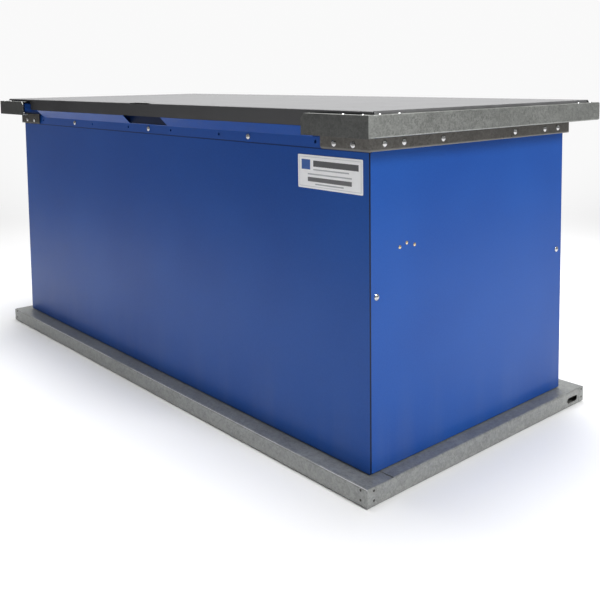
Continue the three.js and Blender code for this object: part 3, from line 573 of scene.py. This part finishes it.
# each kind of rivet or screw head: radius and height, in millimetres
heads = {"lid": (6.6, 0.5), "frame": (4.4, 2.6), "foot": (5.0, 2.0), "hinge": (5.0, 0.6),
         "base": (3.4, 1.5)}
headSides = 14
headSteps = 4
headRimShare = 0.25


# low domes of one kind at many places, which are in millimetres, all with the same outward axis
def rivetSet(name, places, axis, kind, slot, body, material=None):
    radius, height = (size * mm for size in heads[kind])
    shape = turned(domeProfile(radius, height, headRimShare * height, headSteps), headSides)
    shapes = [(placed(shape[0], np.array(place) * mm, axis), shape[1]) for place in places]
    return addPiece(name, *together(shapes), slot, body, material)


# small rivets scattered over the lid's top in millimetres, sunk a little into the sheet
lidRivets = {"front": [(-438, -375), (-407, -356), (-104, -402), (11, -435), (-34, -357), (-18, -347),
                       (227, -394), (334, -417), (900, -351), (959, -308), (-1085, -224), (-1085, -160)],
             "back": (-713, -589, -14, 93, 289, 358, 812, 921), "backRow": 452, "sunk": 0.2}
lidPlaces = lidRivets["front"] + [(x, lidRivets["backRow"]) for x in lidRivets["back"]]
lidPlaces = [(x, y, lidTop / mm - lidRivets["sunk"]) for x, y in lidPlaces]
rivetSet("lid_top_rivets", lidPlaces, [0, 0, 1], "lid", "zinc", "lid", darkZincAndLeverShadePlate)

# rivets on the lid's end channels, and those of the struts' feet, which are measured from the
# right foot's front lower corner
frameRivets = {"tabAlong": (1033, 1101), "tabRow": -521, "endAlong": 1118,
               "endRows": (-480, -410, 420, 490)}
footRivets = {"places": ((15.05, 20), (42.05, 28), (73.05, 19))}
footCorner = np.array(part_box("right_strut_foot")[0]) / mm
for side, name in ((1, "right"), (-1, "left")):
    tabTop = [(side * x, frameRivets["tabRow"], channelTop / mm) for x in frameRivets["tabAlong"]]
    endTop = [(side * frameRivets["endAlong"], y, channelTop / mm) for y in frameRivets["endRows"]]
    rivetSet("lid_frame_rivets_" + name, tabTop + endTop, [0, 0, 1], "frame", "zinc", "lid")
    foot = [(side * wallEnd / mm, footCorner[1] + y, footCorner[2] + z) for y, z in footRivets["places"]]
    rivetSet("strut_foot_rivets_" + name, foot, [side, 0, 0], "foot", "zinc", "box", yellowPlate)

hingeScrews = {"leaf": 3.0, "across": (-42.0, 0.0, 42.0), "up": 14.0}
for side in ("left", "centre", "right"):
    leafLow, leafHigh = (np.array(corner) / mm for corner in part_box("hinge_" + side + "_body_leaf"))
    middle = (leafLow[0] + leafHigh[0]) / 2
    places = [(middle + x, leafLow[1] + hingeScrews["leaf"], leafLow[2] + hingeScrews["up"])
              for x in hingeScrews["across"]]
    rivetSet("hinge_screws_" + side, places, [0, 1, 0], "hinge", "zinc", "box")

baseRivets = {"inset": 24.0, "backInset": 12.0, "heights": (16.8, 42.7)}
for side, name in ((1, "right"), (-1, "left")):
    x = side * (baseEnd / mm - baseRivets["inset"])
    rows = (baseFront / mm + baseRivets["inset"], baseBack / mm - baseRivets["backInset"])
    onFront = [(x, baseFront / mm, z) for z in baseRivets["heights"]]
    onEnd = [(side * baseEnd / mm, y, z) for z in baseRivets["heights"] for y in rows]
    kind = ("base", "galvanised_steel", "box", darkZincAndLeverShadePlate)
    rivetSet("base_front_rivets_" + name, onFront, [0, -1, 0], *kind)
    rivetSet("base_end_rivets_" + name, onEnd, [side, 0, 0], *kind)
print("rivets ready")


label = {"round": 3.0 * mm, "sides": 64, "field": (0.97, 0.97, 0.98), "yellowed": (0.75, 0.75, 0.75),
         "ink": (0.015, 0.016, 0.02), "grey": (0.35, 0.36, 0.38), "accent": (0.04, 0.12, 0.38)}
labelLow, labelHigh = (np.array(corner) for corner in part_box("label_plate"))


# a plain film with a border line, a block and bars; across and up run from 0 to 1 over it
def makeLabelFilm():
    paint = Paint("printed_label_film")
    x, y, z = paint.axes()
    across = (x - float(labelLow[0])) / float(labelHigh[0] - labelLow[0])
    up = (z - float(labelLow[2])) / float(labelHigh[2] - labelLow[2])

    def bar(left, right, low, high):
        return (across > left) * (across < right) * (up > low) * (up < high)

    border = bar(0.02, 0.98, 0.05, 0.95) * (1.0 - bar(0.03, 0.97, 0.075, 0.925))
    thin = bar(0.25, 0.8, 0.55, 0.59) + bar(0.16, 0.84, 0.41, 0.45) + bar(0.28, 0.72, 0.12, 0.16)
    colour = paint.tint(paint.noise(60.0, 3.0) * 0.2, label["field"], label["yellowed"])
    colour = paint.tint(border * 0.35, colour, label["grey"])
    colour = paint.tint(bar(0.06, 0.2, 0.56, 0.86), colour, label["accent"])
    colour = paint.tint(bar(0.25, 0.94, 0.66, 0.84) * 0.9, colour, label["ink"])
    colour = paint.tint(thin * 0.8, colour, label["grey"])
    colour = paint.tint(bar(0.16, 0.84, 0.21, 0.34) * 0.85, colour, label["ink"])
    rough = 0.42 + 0.1 * paint.noise(80.0, 2.0)
    wrinkle = paint.bump(paint.noise(35.0, 2.0), 0.2 * mm, 0.3)
    return paint.finish(Base=colour, Roughness=rough, Normal=wrinkle, Specular=0.4)


# a film with round corners: point = centre + share (outline - centre), and the rim turned back to the wall
def labelFilm():
    half = (labelHigh - labelLow) / 2
    middle = (labelHigh + labelLow) / 2
    radius = label["round"]
    angle = np.arange(label["sides"]) / label["sides"] * 2 * np.pi + np.pi / label["sides"]
    circle = np.stack([np.cos(angle), np.sin(angle)], -1)
    outline = np.sign(circle) * (half[[0, 2]] - radius) + radius * circle
    share = np.array([0.0001, 0.5, 0.97, 0.999, 1.0, 1.0])[:, None, None]
    depth = np.array([0.0, 0.0, 0.0, 0.03, 0.2, 1.0])[:, None] * (labelHigh[1] - labelLow[1])
    across, up = np.moveaxis(share * outline[None], -1, 0)
    points = np.stack([middle[0] + across, labelLow[1] + depth + 0 * across, middle[2] + up], -1)
    return cappedRings(points, inward=True)


labelPiece = addPiece("label_film_plain", *labelFilm(), "label_film", "box", makeLabelFilm())
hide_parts("label_plate")
print("label ready")


seal = {"wide": 18.0 * mm, "bulb": 6.6 * mm, "corner": 22.0 * mm, "foot": 3 * mm, "latchGap": 2 * mm,
        "cornerSteps": 9, "bulbSteps": 18, "bulbFrom": -0.35, "bulbTo": 1.35}
sealLow, sealHigh = (np.array(corner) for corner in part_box("mouth_seal"))
housingLow, housingHigh = (np.array(corner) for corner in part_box("latch_housing"))


# a foot with a round bulb on top, carried round the mouth with rounded corners and open at the latch:
# path = rectangle corner + radius (cos, sin), profile = offset outwards and height
def sealRound():
    wide = seal["wide"]
    low, high = sealLow + wide / 2, sealHigh - wide / 2
    radius = seal["corner"]
    centres = [(high[0] - radius, low[1] + radius), (high[0] - radius, high[1] - radius),
               (low[0] + radius, high[1] - radius), (low[0] + radius, low[1] + radius)]
    path = [(housingHigh[0] + seal["latchGap"], low[1])]
    for k, (x, y) in enumerate(centres):
        turn = np.linspace(-np.pi / 2, 0, seal["cornerSteps"]) + k * np.pi / 2
        path += list(zip(x + radius * np.cos(turn), y + radius * np.sin(turn)))
    path = np.array(path + [(housingLow[0] - seal["latchGap"], low[1])])
    along = np.gradient(path, axis=0)
    along /= np.linalg.norm(along, axis=1, keepdims=True)
    outward = np.stack([along[:, 1], -along[:, 0]], -1)
    height = sealHigh[2] - sealLow[2]
    bulb = seal["bulb"]
    turn = np.linspace(seal["bulbFrom"] * np.pi, seal["bulbTo"] * np.pi, seal["bulbSteps"])
    profile = np.concatenate([[[-wide / 2, 0], [wide / 2, 0], [wide / 2, seal["foot"]]],
                              np.stack([bulb * np.cos(turn), height - bulb + bulb * np.sin(turn)], -1),
                              [[-wide / 2, seal["foot"]]]])
    plan = path[:, None] + outward[:, None] * profile[None, :, :1]
    up = sealLow[2] + profile[None, :, 1] + 0 * path[:, None, 0]
    return cappedRings(np.concatenate([plan, up[..., None]], -1), inward=True)


sealPiece = addPiece("mouth_seal_bulb", *sealRound(), "rubber", "box")
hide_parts("mouth_seal")
print("seal ready")


# the room's brightness by direction: bright behind the box, dark in front of it
sky = {"bright": 0.95, "dark": 0.32, "toward": (-0.72, 0.69, 0.0), "from": 0.4, "to": 0.92}
floor = {"size": 60.0, "drop": 0.6 * mm, "near": (0.88, 0.88, 0.88), "patchy": (0.9, 0.9, 0.9),
         "front": (0.52, 0.52, 0.52), "frontSlant": 0.3, "frontFrom": 1.5, "frontTo": 3.2,
         "fadeFrom": 1.0, "fadeTo": 3.6, "farFrom": 3.2, "farTo": 7.5}


# a pale floor that gets darker well in front of the box, and fades into the room's own light far away
def makeFloor():
    paint = Paint("pale_floor")
    x, y, z = paint.axes()
    front = paint.step(0.0 - y - floor["frontSlant"] * x, floor["frontFrom"], floor["frontTo"])
    colour = paint.tint(paint.noise(1.2, 3.0), floor["near"], floor["patchy"])
    colour = paint.tint(front, colour, floor["front"])
    paint.finish(Base=colour, Roughness=0.7, Specular=0.2)
    distance = paint.node("VectorMath", {"operation": "LENGTH"}, [paint.place], "Value")
    behind = sky["toward"][0] * x + sky["toward"][1] * y
    backdrop = paint.step(behind, floor["fadeFrom"], floor["fadeTo"]) * (1.0 - front)
    far = 1.0 - (1.0 - backdrop) * (1.0 - paint.step(distance, floor["farFrom"], floor["farTo"]))
    spread = paint.step(behind / distance, sky["from"], sky["to"])
    light = sky["dark"] + (sky["bright"] - sky["dark"]) * spread
    glow = paint.node("Emission", None, {"Color": light})
    mixed = paint.node("MixShader", None, [far, Signal(paint, paint.shader.outputs[0]), glow])
    paint.feed(paint.tree.nodes["Material Output"].inputs["Surface"], mixed)
    return paint.material


floorMesh = bpy.data.meshes.new("floor")
floorCorners = [(x * floor["size"], y * floor["size"], -floor["drop"])
                for x, y in ((-1, -1), (1, -1), (1, 1), (-1, 1))]
floorMesh.from_pydata(floorCorners, [], [(0, 1, 2, 3)])
floorMesh.materials.append(makeFloor())
floorPiece = bpy.data.objects.new("floor", floorMesh)
bpy.context.scene.collection.objects.link(floorPiece)


def makeSky():
    world = bpy.data.worlds.new("studio_room")
    bpy.context.scene.world = world
    world.use_nodes = True
    nodes, links = world.node_tree.nodes, world.node_tree.links
    place = nodes.new("ShaderNodeTexCoord")
    dot = nodes.new("ShaderNodeVectorMath")
    dot.operation = "DOT_PRODUCT"
    dot.inputs[1].default_value = sky["toward"]
    links.new(place.outputs["Generated"], dot.inputs[0])
    spread = nodes.new("ShaderNodeMapRange")
    spread.interpolation_type = "SMOOTHSTEP"
    for name, value in (("From Min", sky["from"]), ("From Max", sky["to"]),
                        ("To Min", sky["dark"]), ("To Max", sky["bright"])):
        spread.inputs[name].default_value = value
    links.new(dot.outputs["Value"], spread.inputs["Value"])
    links.new(spread.outputs[0], nodes["Background"].inputs["Color"])


# stands a lamp or the camera at place, with its own x, y and z along side, up and back
def stand(data, side, up, back, place):
    matrix = np.eye(4)
    matrix[:3] = np.stack([side, up, back, place], -1)
    holder = bpy.data.objects.new(data.name, data)
    holder.matrix_world = Matrix(matrix)
    bpy.context.scene.collection.objects.link(holder)
    return holder


makeSky()
lamps = [
    {"name": "side_lamp", "place": (4.9, -0.2, 4.3), "aim": (1.0, 0.0, 0.4), "size": 1.4, "power": 205.0},
    {"name": "top_lamp", "place": (-0.6, 0.5, 5.0), "aim": (-0.6, 0.0, 0.9), "size": 4.0, "power": 320.0},
]
for lamp in lamps:
    light = bpy.data.lights.new(lamp["name"], "AREA")
    light.shape = "DISK"
    light.size = lamp["size"]
    light.energy = lamp["power"]
    back = np.array(lamp["place"]) - np.array(lamp["aim"])
    side = np.cross([0.0, 0.0, 1.0], back)
    side /= np.linalg.norm(side)
    back /= np.linalg.norm(back)
    stand(light, side, np.cross(back, side), back, lamp["place"])

view = {"place": (2.469, -1.915, 1.080), "yaw": 48.89, "pitch": 4.97, "roll": -0.66, "lens": 49.1,
        "sensor": 36.0, "shift": -0.255}
yaw, pitch, roll = (math.radians(view[key]) for key in ("yaw", "pitch", "roll"))
ahead = np.array([-math.sin(yaw) * math.cos(pitch), math.cos(yaw) * math.cos(pitch), -math.sin(pitch)])
level = np.array([math.cos(yaw), math.sin(yaw), 0.0])
above = np.cross(level, ahead)
right = math.cos(roll) * level + math.sin(roll) * above
up = math.cos(roll) * above - math.sin(roll) * level
cameraData = bpy.data.cameras.new("camera")
cameraData.lens = view["lens"]
cameraData.sensor_width = view["sensor"]
cameraData.shift_y = view["shift"]
bpy.context.scene.camera = stand(cameraData, right, up, -ahead, view["place"])
bpy.context.scene.view_settings.view_transform = "Standard"
print("floor, light and camera ready")
